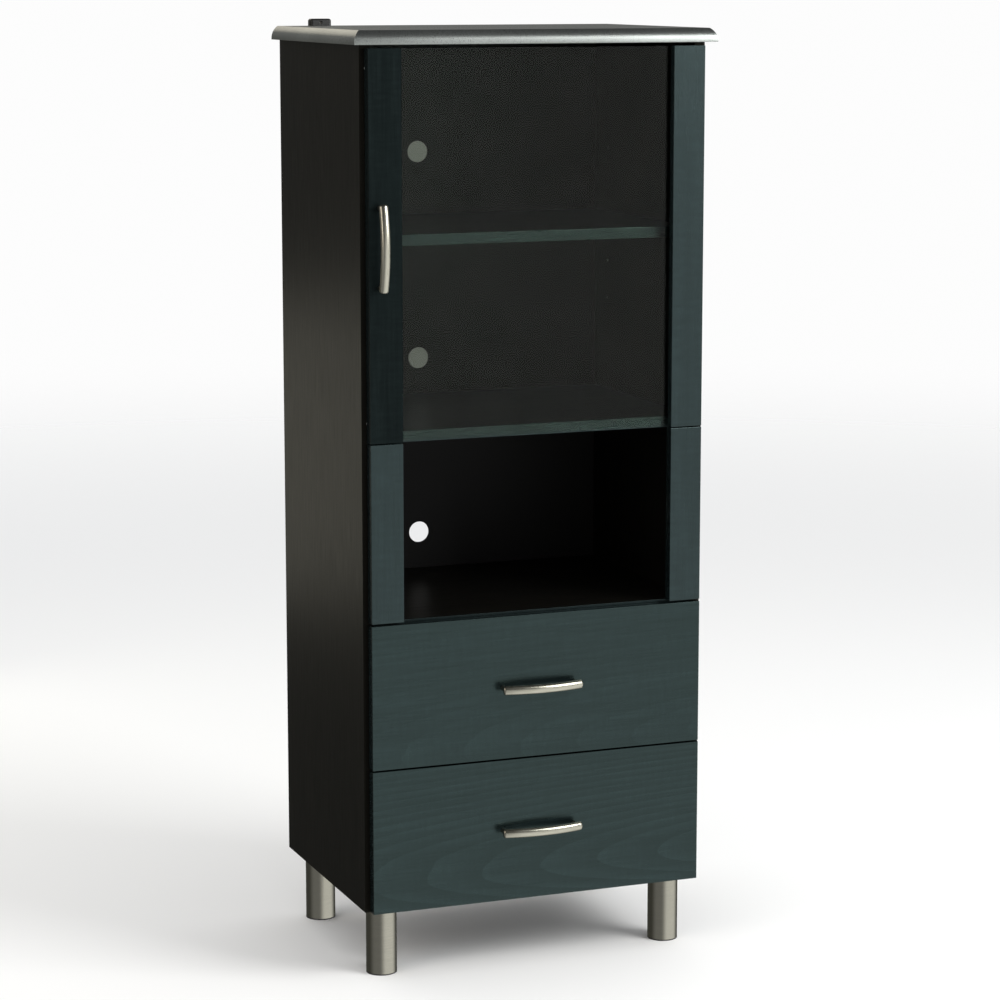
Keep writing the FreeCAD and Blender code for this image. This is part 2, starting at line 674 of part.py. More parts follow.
for side, sign, low, high in (
    ("left", -1, f"-{pane_half} + Dims.clip_overlap - Dims.clip_length",
     f"-{pane_half} + Dims.clip_overlap"),
    ("right", 1, f"{pane_half} - Dims.clip_overlap",
     f"{pane_half} - Dims.clip_overlap + Dims.clip_length"),
):
    for index, level in enumerate(CLIP_LEVELS):
        middle = f"({DOOR_Z} + {level} * Dims.door_height)"
        plate = block(
            f"clip_plate_{side}_{index}",
            (low, high),
            (LINE_Y, f"{LINE_Y} + Dims.clip_thickness"),
            (f"{middle} - Dims.clip_height / 2", f"{middle} + Dims.clip_height / 2"),
        )
        at = (
            f"{sign} * ({pane_half} + Dims.clip_length / 2 - Dims.clip_overlap / 2)",
            f"{LINE_Y} + Dims.clip_thickness",
            middle,
        )
        hole = screw_hole(f"clip_hole_{side}_{index}", at, "-y", "Dims.clip_thickness")
        clips.append(cut(f"clip_{side}_{index}", plate, [hole]))
        door_screws.append(screw(f"clip_screw_{side}_{index}", at, "-y"))
keep(group("glass_clips", clips), "glass_clips")

# ---------------------------------------------------- door hinges: two slim barrel hinges
case_screws = []
case_leaves = []
door_leaves = []
hinge_pins = []
LEAF_SCREWS = (-20, 0, 20)
third = "Dims.hinge_height / 3"
CLEAR = "(Dims.knuckle_radius + Dims.knuckle_space)"
for level, centre in (
    ("lower", f"({DOOR_Z} + Dims.hinge_inset)"),
    ("upper", f"({DOOR_TOP_Z} - Dims.hinge_inset)"),
):
    base = f"({centre} - Dims.hinge_height / 2)"
    top = f"({centre} + Dims.hinge_height / 2)"
    mid_low = f"({base} + {third})"
    mid_high = f"({top} - {third})"
    barrel = [
        rod(f"case_knuckle_{level}_{end}", "Dims.knuckle_radius", third,
            (HINGE_X, HINGE_Y, start))
        for end, start in (("low", base), ("high", mid_high))
    ]
    plate = block(
        f"case_plate_{level}",
        (f"{INNER_HALF} + Dims.leaf_margin", HINGE_X),
        (f"{CASE_Y} - Dims.leaf_thickness", CASE_Y),
        (base, top),
    )
    notch = block(
        f"case_notch_{level}",
        (f"{HINGE_X} - {CLEAR}", f"{HINGE_X} + {CLEAR}"),
        (f"{CASE_Y} - 2 * {CLEAR}", CASE_Y),
        (f"{mid_low} - Dims.knuckle_joint", f"{mid_high} + Dims.knuckle_joint"),
    )
    bore = rod(f"case_bore_{level}", "Dims.hinge_pin_radius", "Dims.hinge_height",
               (HINGE_X, HINGE_Y, base))
    screws_at = [
        (f"({INNER_HALF} + {HINGE_X} - Dims.knuckle_radius) / 2",
         f"{CASE_Y} - Dims.leaf_thickness", f"{centre} + {offset}")
        for offset in LEAF_SCREWS
    ]
    holes = [
        screw_hole(f"case_leaf_hole_{level}_{index}", at, "y", "Dims.leaf_thickness")
        for index, at in enumerate(screws_at)
    ]
    case_screws += [
        screw(f"case_leaf_screw_{level}_{index}", at, "y")
        for index, at in enumerate(screws_at)
    ]
    leaf = join(f"case_leaf_solid_{level}", [plate] + barrel)
    case_leaves.append(cut(f"case_leaf_{level}", leaf, [notch, bore] + holes))
    knuckle = rod(
        f"door_knuckle_{level}", "Dims.knuckle_radius", third, (HINGE_X, HINGE_Y, mid_low)
    )
    door_plate = block(
        f"door_plate_{level}",
        (f"{FRONT_HALF} - Dims.leaf_reach", f"{HINGE_X} - Dims.knuckle_radius / 2"),
        (LINE_Y, f"{LINE_Y} + Dims.leaf_thickness"),
        (base, top),
    )
    clearances = [
        block(
            f"door_clearance_{level}_{end}",
            (f"{HINGE_X} - {CLEAR}", f"{HINGE_X} + {CLEAR}"),
            (LINE_Y, f"{LINE_Y} + Dims.leaf_thickness"),
            (low, high),
        )
        for end, low, high in (("low", base, mid_low), ("high", mid_high, top))
    ]
    door_bore = rod(
        f"door_bore_{level}", "Dims.hinge_pin_radius + Dims.knuckle_play", "Dims.hinge_height",
        (HINGE_X, HINGE_Y, base),
    )
    screws_at = [
        (f"{FRONT_HALF} - Dims.leaf_reach / 2", f"{LINE_Y} + Dims.leaf_thickness",
         f"{centre} + {offset}")
        for offset in LEAF_SCREWS
    ]
    holes = [
        screw_hole(f"door_leaf_hole_{level}_{index}", at, "-y", "Dims.leaf_thickness")
        for index, at in enumerate(screws_at)
    ]
    door_screws += [
        screw(f"door_leaf_screw_{level}_{index}", at, "-y")
        for index, at in enumerate(screws_at)
    ]
    leaf = join(f"door_leaf_solid_{level}", [door_plate, knuckle])
    door_leaves.append(cut(f"door_leaf_{level}", leaf, clearances + [door_bore] + holes))
    hinge_pins.append(
        rod(f"hinge_pin_{level}", "Dims.hinge_pin_radius", "Dims.hinge_height",
            (HINGE_X, HINGE_Y, base))
    )
keep(group("hinge_case_leaves", case_leaves), "hinge_case_leaves")
keep(group("hinge_door_leaves", door_leaves), "hinge_door_leaves")
keep(group("hinge_pins", hinge_pins), "hinge_pins")
keep(group("door_screws", door_screws), "door_screws")

# ---------------------------------------------------------------- soft bumpers inside the door
bumpers = [
    rod(f"bumper_{end}", "Dims.bumper_radius", "Dims.bumper_thickness",
        (f"-{CASE_HALF} + Dims.reveal + Dims.bumper_radius", LINE_Y, level), "y")
    for end, level in (
        ("low", f"{DOOR_Z} + Dims.bumper_inset"),
        ("high", f"{DOOR_TOP_Z} - Dims.bumper_inset"),
    )
]
keep(group("door_bumpers", bumpers), "door_bumpers")

# -------------------------------------------------------------------------------- bow handles


def handle(name):
    """A bowed oval bar on two posts: the mounting plane is local Y = 0, the bow is at -Y."""
    body = doc.addObject("PartDesign::Body", name)
    section = sketch_on(body, "YZ_Plane", name + "_section")
    depth = number("Dims.grip_depth / 2")
    height = number("Dims.grip_height / 2")
    centre_y = "-(Dims.handle_reach - Dims.grip_depth / 2)"
    centre = FreeCAD.Vector(number(centre_y), 0, 0)
    oval = Part.Ellipse(centre + FreeCAD.Vector(0, height, 0),
                        centre + FreeCAD.Vector(depth, 0, 0), centre)
    section.addGeometry(oval, False)
    section.exposeInternalGeometry(0)
    pin_point(section, 0, 3, centre_y, "0")
    bar = body.newObject("PartDesign::Revolution", name + "_bar")
    bar.Profile = section
    spine = body.newObject("PartDesign::Line", name + "_spine")
    bow_centre = f"{centre_y} + {BOW_RADIUS}"
    spine.setExpression(".Placement.Base.y", bow_centre)
    bar.ReferenceAxis = (spine, [""])
    bar.setExpression("Angle", f"2 * asin(Dims.handle_length / 2 / {BOW_RADIUS})")
    bar.Midplane = True
    doc.recompute()
    end_rims = [
        f"Edge{index}"
        for index, edge in enumerate(bar.Shape.Edges, start=1)
        if edge.isClosed() and abs(edge.BoundBox.Center.x) > number("Dims.post_pitch / 2")
    ]
    rounding = body.newObject("PartDesign::Fillet", name + "_ends")
    rounding.Base = (bar, end_rims)
    rounding.setExpression("Radius", "Dims.grip_round")
    doc.recompute()
    posts = sketch_on(body, "XZ_Plane", name + "_posts")
    for side in (-1, 1):
        ring(posts, "Dims.post_radius", f"{side} * Dims.post_pitch / 2", "0")
    pad(body, posts, GRIP_OUT)
    bores = sketch_on(body, "XZ_Plane", name + "_bores")
    for side in (-1, 1):
        ring(bores, "Dims.handle_bolt_radius", f"{side} * Dims.post_pitch / 2", "0")
    pocket(body, bores, "Dims.handle_bolt_bite")
    return body


def handle_bolts(name, points):
    """Pan-head bolts that come through a front from behind into the posts."""
    bolts = []
    for index, (x, z) in enumerate(points):
        head = rod(f"{name}_head_{index}", "Dims.handle_bolt_head_radius",
                   "Dims.handle_bolt_head", (x, LINE_Y, z), "y")
        shank = rod(f"{name}_shank_{index}", "Dims.handle_bolt_radius",
                    "Dims.board + Dims.handle_bolt_bite", (x, LINE_Y, z), "-y")
        bolts.append(join(f"{name}_{index}", [head, shank]))
    return group(name, bolts)


door_handle = handle("door_handle")
door_handle.Placement.Rotation = FreeCAD.Rotation(Y_AXIS, 90)
place(door_handle, handle_x, FACE_Y, door_middle)
keep(door_handle, "door_handle")
door_points = [(handle_x, f"{door_middle} + {sign} * Dims.post_pitch / 2") for sign in (-1, 1)]
keep(handle_bolts("door_handle_bolts", door_points), "door_handle_bolts")

# ------------------------------------------------------------------------ drawers and runners


def channel(name, x_web, x_open, half_height, wall, y, middle):
    """A long C-shaped rail: solid outside less its hollow, which is open on one side."""
    low_x, high_x = sorted((x_web, x_open), key=number)
    outside = block(
        f"{name}_outside", (low_x, high_x), y,
        (f"{middle} - {half_height}", f"{middle} + {half_height}"),
    )
    if low_x == x_web:
        hollow_x = (f"{x_web} + {wall}", x_open)
    else:
        hollow_x = (x_open, f"{x_web} - {wall}")
    hollow = block(
        f"{name}_hollow", hollow_x, y,
        (f"{middle} - {half_height} + {wall}", f"{middle} + {half_height} - {wall}"),
    )
    return cut(f"{name}_channel", outside, [hollow])


RUNNER_SCREWS = (30, 175, 320)
GUIDE_SCREWS = (40, 180, 330)
FIRST_FRONT_Z = f"({CASE_Z} + Dims.front_lift)"
SECOND_FRONT_Z = f"({FIRST_FRONT_Z} + Dims.drawer_front_height + Dims.front_joint)"
for level, front_z in (("lower", FIRST_FRONT_Z), ("upper", SECOND_FRONT_Z)):
    drawer = f"{level}_drawer"
    front_top = f"({front_z} + Dims.drawer_front_height)"
    box_z = f"({front_z} + Dims.box_lift)"
    box_top = f"({box_z} + Dims.box_height)"
    floor_z = f"({box_z} + Dims.groove_lift)"
    floor_top = f"({floor_z} + Dims.box_floor)"
    front_middle = f"({front_z} + Dims.drawer_front_height / 2)"
    runner_z = f"({box_z} + Dims.runner_rise)"
    posts = [(f"{sign} * Dims.post_pitch / 2", front_middle) for sign in (-1, 1)]

    blank = block(
        f"{drawer}_front_blank",
        (f"-{FRONT_HALF}", FRONT_HALF),
        (FACE_Y, LINE_Y),
        (front_z, front_top),
    )
    groove = block(
        f"{drawer}_front_groove",
        (f"-{BOX_INNER}", BOX_INNER),
        (f"{LINE_Y} - Dims.groove_depth", LINE_Y),
        (floor_z, floor_top),
    )
    bolt_holes = [
        rod(f"{drawer}_bolt_hole_{index}", BOLT_HOLE_RADIUS, "Dims.board",
            (x, FACE_Y, z), "y")
        for index, (x, z) in enumerate(posts)
    ]
    keep(cut(f"{drawer}_front", blank, [groove] + bolt_holes), f"{drawer}_front")

    side_blank = block(
        f"{drawer}_side_blank",
        (f"-{BOX_HALF}", f"-{BOX_INNER}"),
        (LINE_Y, BOX_REAR_Y),
        (box_z, box_top),
    )
    side_groove = block(
        f"{drawer}_side_groove",
        (f"-{BOX_INNER} - Dims.groove_depth", f"-{BOX_INNER}"),
        (LINE_Y, BOX_REAR_Y),
        (floor_z, floor_top),
    )
    left_side = cut(f"{drawer}_side_left", side_blank, [side_groove])
    keep(left_side, f"{drawer}_side_left")
    keep(mirror(left_side, f"{drawer}_side_right"), f"{drawer}_side_right")
    keep(
        block(
            f"{drawer}_back",
            (f"-{BOX_INNER}", BOX_INNER),
            (f"{BOX_REAR_Y} - Dims.box_board", BOX_REAR_Y),
            (floor_top, box_top),
        ),
        f"{drawer}_back",
    )
    keep(
        block(
            f"{drawer}_bottom",
            (f"-{BOX_INNER} - Dims.groove_depth", f"{BOX_INNER} + Dims.groove_depth"),
            (LINE_Y, BOX_REAR_Y),
            (floor_z, floor_top),
        ),
        f"{drawer}_bottom",
    )

    rail_y = f"{CASE_Y} + Dims.runner_setback"
    guide_y = f"{LINE_Y} + Dims.runner_setback"
    guide_half = "(Dims.runner_height / 2 - Dims.runner_wall - Dims.guide_play)"
    runners = []
    guides = []
    guide_screws = []
    for side, sign, outward, inward in (("left", -1, "-x", "x"), ("right", 1, "x", "-x")):
        web_x = f"{sign} * {INNER_HALF}"
        open_x = f"{sign} * ({INNER_HALF} - Dims.runner_depth)"
        rail = channel(
            f"{drawer}_runner_{side}", web_x, open_x, "Dims.runner_height / 2", "Dims.runner_wall",
            (rail_y, f"{rail_y} + Dims.runner_length"), runner_z,
        )
        screw_x = f"{sign} * ({INNER_HALF} - Dims.runner_wall)"
        at_points = [(screw_x, f"{CASE_Y} + {offset}", runner_z) for offset in RUNNER_SCREWS]
        holes = [
            screw_hole(f"{drawer}_runner_hole_{side}_{index}", at, outward, "Dims.runner_wall")
            for index, at in enumerate(at_points)
        ]
        case_screws += [
            screw(f"{drawer}_runner_screw_{side}_{index}", at, outward)
            for index, at in enumerate(at_points)
        ]
        runners.append(cut(f"{drawer}_rail_{side}", rail, holes))

        box_x = f"{sign} * {BOX_HALF}"
        tip_x = f"{sign} * ({INNER_HALF} - Dims.runner_wall - Dims.guide_play)"
        strip = channel(
            f"{drawer}_guide_{side}", box_x, tip_x, guide_half, "Dims.guide_wall",
            (guide_y, BOX_REAR_Y), runner_z,
        )
        guide_x = f"{sign} * ({BOX_HALF} + Dims.guide_wall)"
        at_points = [(guide_x, f"{LINE_Y} + {offset}", runner_z) for offset in GUIDE_SCREWS]
        holes = [
            screw_hole(f"{drawer}_guide_hole_{side}_{index}", at, inward, "Dims.guide_wall")
            for index, at in enumerate(at_points)
        ]
        guide_screws += [
            screw(f"{drawer}_guide_screw_{side}_{index}", at, inward)
            for index, at in enumerate(at_points)
        ]
        guides.append(cut(f"{drawer}_guide_strip_{side}", strip, holes))
    keep(group(f"{drawer}_runners", runners), f"{drawer}_runners")
    keep(group(f"{drawer}_guides", guides), f"{drawer}_guides")
    keep(group(f"{drawer}_screws", guide_screws), f"{drawer}_screws")

    grip = handle(f"{drawer}_handle")
    place(grip, "0", FACE_Y, front_middle)
    keep(grip, f"{drawer}_handle")
    keep(handle_bolts(f"{drawer}_handle_bolts", posts), f"{drawer}_handle_bolts")

# --------------------------------------- screws that hold the battens to the side panels
STILE_SCREWS = (40, 142, 245)
BATTEN_SCREW_DEPTH = 24
for side, sign in (("left", -1), ("right", 1)):
    for index, offset in enumerate(STILE_SCREWS):
        into_panel = (
            f"{sign} * ({INNER_HALF} - Dims.board)",
            f"{CASE_Y} + {BATTEN_SCREW_DEPTH}",
            f"{BAY_Z} + {offset}",
        )
        aim = "-x" if side == "left" else "x"
        case_screws.append(screw(f"batten_screw_{side}_{index}", into_panel, aim))
keep(group("case_screws", case_screws), "case_screws")

# ------------------------------------------------------------------------- check and write out
doc.recompute()
failed = [obj.Name for obj in doc.Objects if "Invalid" in obj.State or "Error" in obj.State]
assert not failed, failed
os.makedirs("parts", exist_ok=True)
for node in nodes:
    shape = node.Shape
    assert not shape.isNull() and shape.isValid(), node.Label
    assert len(shape.Solids) > 0, node.Label
for node in nodes:
    node.Shape.exportStep(os.path.join("parts", node.Label + ".step"))
print(len(nodes), "pieces written")
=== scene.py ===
import math

import bmesh
import bpy
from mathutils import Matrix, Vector


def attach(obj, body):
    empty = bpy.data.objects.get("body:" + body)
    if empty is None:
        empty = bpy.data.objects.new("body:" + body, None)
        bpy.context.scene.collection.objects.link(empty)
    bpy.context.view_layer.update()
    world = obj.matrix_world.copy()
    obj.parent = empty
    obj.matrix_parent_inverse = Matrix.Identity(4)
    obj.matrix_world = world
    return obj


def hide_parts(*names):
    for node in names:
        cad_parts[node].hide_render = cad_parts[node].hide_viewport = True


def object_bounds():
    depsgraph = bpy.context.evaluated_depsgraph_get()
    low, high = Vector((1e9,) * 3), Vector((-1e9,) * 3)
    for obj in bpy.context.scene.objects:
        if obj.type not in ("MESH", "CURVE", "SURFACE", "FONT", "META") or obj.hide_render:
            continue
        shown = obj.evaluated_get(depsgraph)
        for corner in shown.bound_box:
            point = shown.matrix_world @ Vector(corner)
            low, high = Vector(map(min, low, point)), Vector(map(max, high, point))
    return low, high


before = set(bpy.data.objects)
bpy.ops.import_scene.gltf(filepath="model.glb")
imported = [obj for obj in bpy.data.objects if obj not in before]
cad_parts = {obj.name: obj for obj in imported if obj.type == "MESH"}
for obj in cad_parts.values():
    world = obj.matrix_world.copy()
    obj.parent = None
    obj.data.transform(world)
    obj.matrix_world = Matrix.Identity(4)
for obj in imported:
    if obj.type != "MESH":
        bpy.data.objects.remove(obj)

cad_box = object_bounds()


# ---------------------------------------------------------------- carcass boards
# Side panels and horizontal boards are particleboard faced with melamine paper that is
# printed with a black wood grain, then pressed satin. They are sawn to size, edge banded,
# and the band is scraped round, so every edge catches a thin line of light.
MM = 0.001


def linear(code):
    """An sRGB hex colour as linear red, green, blue and alpha."""
    parts = [int(code[start:start + 2], 16) / 255 for start in (1, 3, 5)]
    return [c / 12.92 if c <= 0.04045 else ((c + 0.055) / 1.055) ** 2.4 for c in parts] + [1.0]


def add(tree, kind, inputs=None, **settings):
    """Adds one node. Each input is a plain value, or the socket that it links from."""
    node = tree.nodes.new("ShaderNode" + kind)
    for name, value in settings.items():
        setattr(node, name, value)
    for name, value in (inputs or {}).items():
        if isinstance(value, bpy.types.NodeSocket):
            tree.links.new(value, node.inputs[name])
        else:
            node.inputs[name].default_value = value
    return node


def start_material(name):
    material = bpy.data.materials.new(name)
    material.use_nodes = True
    material.node_tree.nodes.clear()
    return material, material.node_tree


def stretched(along, width_mm, length_mm):
    """Mapping scale that makes one noise cell so wide, and so long along the grain."""
    scale = [1 / (width_mm * MM)] * 3
    scale["XYZ".index(along)] = 1 / (length_mm * MM)
    return scale


def set_ramp(node, stops):
    """Colours or greys of a colour ramp, as (position, hex)."""
    elements = node.color_ramp.elements
    while len(elements) < len(stops):
        elements.new(0.5)
    for element, (position, code) in zip(elements, stops):
        element.position = position
        element.color = linear(code)


# The printed grain has pores a few tenths of a millimetre wide. They are drawn about ten
# times as coarse, so that they still show when the whole cabinet is in view.
PORE_MM = (2.6, 70)
BAND_MM = (17, 420)
RIPPLE_MM = (26, 3.4)
RING_MM = 9.5


def grain_laminate(name, along, stops, roughness, sheen, rings=None, ripple=0.25):
    """Melamine print of a fine-pored wood: satin, with soft streaks along one axis."""
    material, tree = start_material(name)
    place = add(tree, "TexCoord").outputs["Object"]
    pore_map = add(tree, "Mapping", {"Vector": place, "Scale": stretched(along, *PORE_MM)})
    pores = add(tree, "TexNoise", {"Vector": pore_map.outputs[0], "Scale": 1.0,
                                   "Detail": 4.0, "Roughness": 0.65})
    band_map = add(tree, "Mapping", {"Vector": place, "Scale": stretched(along, *BAND_MM)})
    bands = add(tree, "TexNoise", {"Vector": band_map.outputs[0], "Scale": 1.0,
                                   "Detail": 2.0, "Distortion": 0.4})
    ripple_map = add(tree, "Mapping", {"Vector": place, "Scale": stretched(along, *RIPPLE_MM)})
    ripples = add(tree, "TexNoise", {"Vector": ripple_map.outputs[0], "Scale": 1.0,
                                     "Detail": 1.5})
    mixed = add(tree, "Mix", {0: 0.45, 2: pores.outputs[0], 3: bands.outputs[0]})
    mixed = add(tree, "Mix", {0: ripple, 2: mixed.outputs[0], 3: ripples.outputs[0]})
    figure = mixed.outputs[0]
    if rings:
        centre, share = rings
        ring_map = add(tree, "Mapping", {
            "Vector": place,
            "Location": centre,
            "Rotation": (0.0, 0.0, math.radians(-33)),
            "Scale": (0.17, 1.0, 1.0),
        })
        ring = add(tree, "TexWave", {
            "Vector": ring_map.outputs[0],
            "Scale": 2 * math.pi / (20 * RING_MM * MM),
            "Distortion": 2.2,
            "Detail": 2.0,
            "Detail Scale": 0.5,
        }, wave_type="RINGS", rings_direction="X", wave_profile="SAW")
        figure = add(tree, "Mix", {0: share, 2: figure, 3: ring.outputs[1]}).outputs[0]
    colour = add(tree, "ValToRGB", {"Fac": figure})
    set_ramp(colour, stops)
    gloss = add(tree, "MapRange", {"Value": pores.outputs[0], 1: 0.3, 2: 0.7,
                                   3: roughness + 0.06, 4: roughness - 0.04})
    relief = add(tree, "Bump", {"Height": pores.outputs[0], "Strength": 0.22,
                                "Distance": 0.12 * MM})
    shader = add(tree, "BsdfPrincipled", {
        "Base Color": colour.outputs[0],
        "Roughness": gloss.outputs[0],
        "IOR": 1.5,
        "Specular IOR Level": sheen[0],
        "Specular Tint": linear(sheen[1]),
        "Normal": relief.outputs[0],
    })
    add(tree, "OutputMaterial", {"Surface": shader.outputs[0]})
    return material


# Black grain: a warm near-black print, streaked along the board.
BLACK_STOPS = ((0.34, "#0a0a09"), (0.5, "#0f0e0c"), (0.68, "#151411"))
BLACK_SHEEN = (0.06, "#fffbe0")
black_upright = grain_laminate("black_melamine_upright", "Z", BLACK_STOPS, 0.32, BLACK_SHEEN)
black_level = grain_laminate("black_melamine_level", "X", BLACK_STOPS, 0.32, BLACK_SHEEN)
black_deep = grain_laminate("black_melamine_deep", "Y", BLACK_STOPS, 0.32, BLACK_SHEEN)
# Charcoal grain: the blue-grey print of the fronts and of the banded front edges.
CHARCOAL_STOPS = ((0.32, "#060a0a"), (0.5, "#0d1314"), (0.7, "#172021"))
CHARCOAL_SHEEN = (0.46, "#dcffff")
charcoal_edge = grain_laminate("charcoal_edge_band", "X", CHARCOAL_STOPS, 0.24, CHARCOAL_SHEEN)

EASE = 0.6 * MM
FLAT = math.radians(1)
SHARP = math.radians(35)


def eased(node, material, band=None):
    """The CAD board with its edges scraped round, its front edge in the band's material."""
    mesh = bpy.data.objects[node].data.copy()
    mesh.materials.clear()
    mesh.materials.append(material)
    work = bmesh.new()
    work.from_mesh(mesh)
    bmesh.ops.remove_doubles(work, verts=work.verts, dist=1e-6)
    bmesh.ops.dissolve_limit(work, angle_limit=FLAT, verts=work.verts, edges=work.edges)
    for face in work.faces:
        face.smooth = False
    if band:
        mesh.materials.append(band)
        front = min(vertex.co.y for vertex in work.verts)
        for face in work.faces:
            at_front = all(vertex.co.y < front + 0.1 * MM for vertex in face.verts)
            face.material_index = 1 if at_front else 0
    work.to_mesh(mesh)
    work.free()
    piece = bpy.data.objects.new(node + "_board", mesh)
    bpy.context.scene.collection.objects.link(piece)
    bevel = piece.modifiers.new("eased edges", "BEVEL")
    bevel.width = EASE
    bevel.segments = 2
    bevel.limit_method = "ANGLE"
    bevel.angle_limit = SHARP
    return piece


def settle(piece, node, body):
    """Put a shaped piece in the place of its CAD node."""
    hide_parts(node)
    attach(piece, body)


for side in ("left", "right"):
    node = f"side_panel_{side}"
    settle(eased(node, black_upright), node, "case")
for node in ("bottom_panel", "bay_floor", "door_compartment_floor"):
    settle(eased(node, black_level, charcoal_edge), node, "case")


# ------------------------------------------------------------------- cams and fixings
# Zinc die-cast cams turn on steel bolts in the side panels and pull the boards together.
# Screws, studs and nails are zinc plated: bright grey, slightly blue, a little cloudy.
def plated_metal(name, colours, roughness, cell_mm):
    """Plated steel: metallic, with the cloudy patches that barrel plating leaves."""
    material, tree = start_material(name)
    place = add(tree, "TexCoord").outputs["Object"]
    cloud = add(tree, "TexNoise", {"Vector": place, "Scale": 1 / (cell_mm * MM), "Detail": 4.0})
    colour = add(tree, "ValToRGB", {"Fac": cloud.outputs[0]})
    set_ramp(colour, ((0.35, colours[0]), (0.65, colours[1])))
    gloss = add(tree, "MapRange", {"Value": cloud.outputs[0], 1: 0.3, 2: 0.7,
                                   3: roughness - 0.05, 4: roughness + 0.07})
    relief = add(tree, "Bump", {"Height": cloud.outputs[0], "Strength": 0.1,
                                "Distance": 0.02 * MM})
    shader = add(tree, "BsdfPrincipled", {
        "Base Color": colour.outputs[0],
        "Metallic": 1.0,
        "Roughness": gloss.outputs[0],
        "Normal": relief.outputs[0],
    })
    add(tree, "OutputMaterial", {"Surface": shader.outputs[0]})
    return material


def dress(material, *nodes):
    """Give CAD nodes their finish. Their shape stays as it is."""
    for node in nodes:
        slots = bpy.data.objects[node].material_slots
        for slot in slots:
            slot.material = material


zinc = plated_metal("zinc_plated_steel", ("#8f9496", "#b4b8b8"), 0.34, 4.0)
dress(zinc, "cam_locks", "cam_bolts", "case_screws", "door_screws", "back_nails", "leg_studs",
      "shelf_pins", "lower_drawer_screws", "upper_drawer_screws", "door_handle_bolts",
      "lower_drawer_handle_bolts", "upper_drawer_handle_bolts", "catch_strike")


# ------------------------------------------------------------------- back and its holes
# The back is 3 mm hardboard, painted black on the face and left brown-black behind, nailed
# in the rebates of the side panels. Pressed fibres give it a fine leathery surface.
def painted_hardboard(name, stops):
    material, tree = start_material(name)
    place = add(tree, "TexCoord").outputs["Object"]
    fibre_mm = 2.2
    fibres = add(tree, "TexNoise", {"Vector": place, "Scale": 1 / (fibre_mm * MM),
                                    "Detail": 5.0, "Roughness": 0.7})
    patch_mm = 90
    patches = add(tree, "TexNoise", {"Vector": place, "Scale": 1 / (patch_mm * MM),
                                     "Detail": 2.0})
    mixed = add(tree, "Mix", {0: 0.4, 2: fibres.outputs[0], 3: patches.outputs[0]})
    colour = add(tree, "ValToRGB", {"Fac": mixed.outputs[0]})
    set_ramp(colour, stops)
    relief = add(tree, "Bump", {"Height": fibres.outputs[0], "Strength": 0.12,
                                "Distance": 0.1 * MM})
    shader = add(tree, "BsdfPrincipled", {
        "Base Color": colour.outputs[0],
        "Roughness": 0.62,
        "Specular IOR Level": 0.3,
        "Normal": relief.outputs[0],
    })
    add(tree, "OutputMaterial", {"Surface": shader.outputs[0]})
    return material


hardboard = painted_hardboard("black_painted_hardboard",
                              ((0.35, "#0d0d0c"), (0.55, "#100f0e"), (0.7, "#141311")))
dress(hardboard, "back_panel", "lower_drawer_bottom", "upper_drawer_bottom")


# ------------------------------------------------------------------- adjustable shelf
# One board of the same black melamine rests on four steel pins behind the glass. Its front
# edge has the charcoal band that the fronts have.
settle(eased("adjustable_shelf", black_level, charcoal_edge), "adjustable_shelf", "case")


# ------------------------------------------------------------------- top and its moulding
# The top is board wrapped in a pewter foil: a grey print under a satin lacquer with fine
# metal flake. The same foil is wrapped over the curved moulding on three sides.
def metallic_foil(name, stops, metallic, roughness):
    material, tree = start_material(name)
    place = add(tree, "TexCoord").outputs["Object"]
    flake_mm = 1.1
    flakes = add(tree, "TexNoise", {"Vector": place, "Scale": 1 / (flake_mm * MM),
                                    "Detail": 3.0, "Roughness": 0.7})
    drift_mm = 160
    drift = add(tree, "TexNoise", {"Vector": place, "Scale": 1 / (drift_mm * MM),
                                   "Detail": 2.0})
    mixed = add(tree, "Mix", {0: 0.4, 2: flakes.outputs[0], 3: drift.outputs[0]})
    colour = add(tree, "ValToRGB", {"Fac": mixed.outputs[0]})
    set_ramp(colour, stops)
    gloss = add(tree, "MapRange", {"Value": flakes.outputs[0], 1: 0.3, 2: 0.7,
                                   3: roughness - 0.05, 4: roughness + 0.05})
    relief = add(tree, "Bump", {"Height": flakes.outputs[0], "Strength": 0.12,
                                "Distance": 0.05 * MM})
    shader = add(tree, "BsdfPrincipled", {
        "Base Color": colour.outputs[0],
        "Metallic": metallic,
        "Roughness": gloss.outputs[0],
        "Normal": relief.outputs[0],
    })
    add(tree, "OutputMaterial", {"Surface": shader.outputs[0]})
    return material


pewter = metallic_foil("pewter_foil_satin",
                       ((0.35, "#727573"), (0.5, "#7d817e"), (0.68, "#898d8a")), 0.9, 0.3)
dress(pewter, "top_panel", "top_moulding_front", "top_moulding_left", "top_moulding_right")


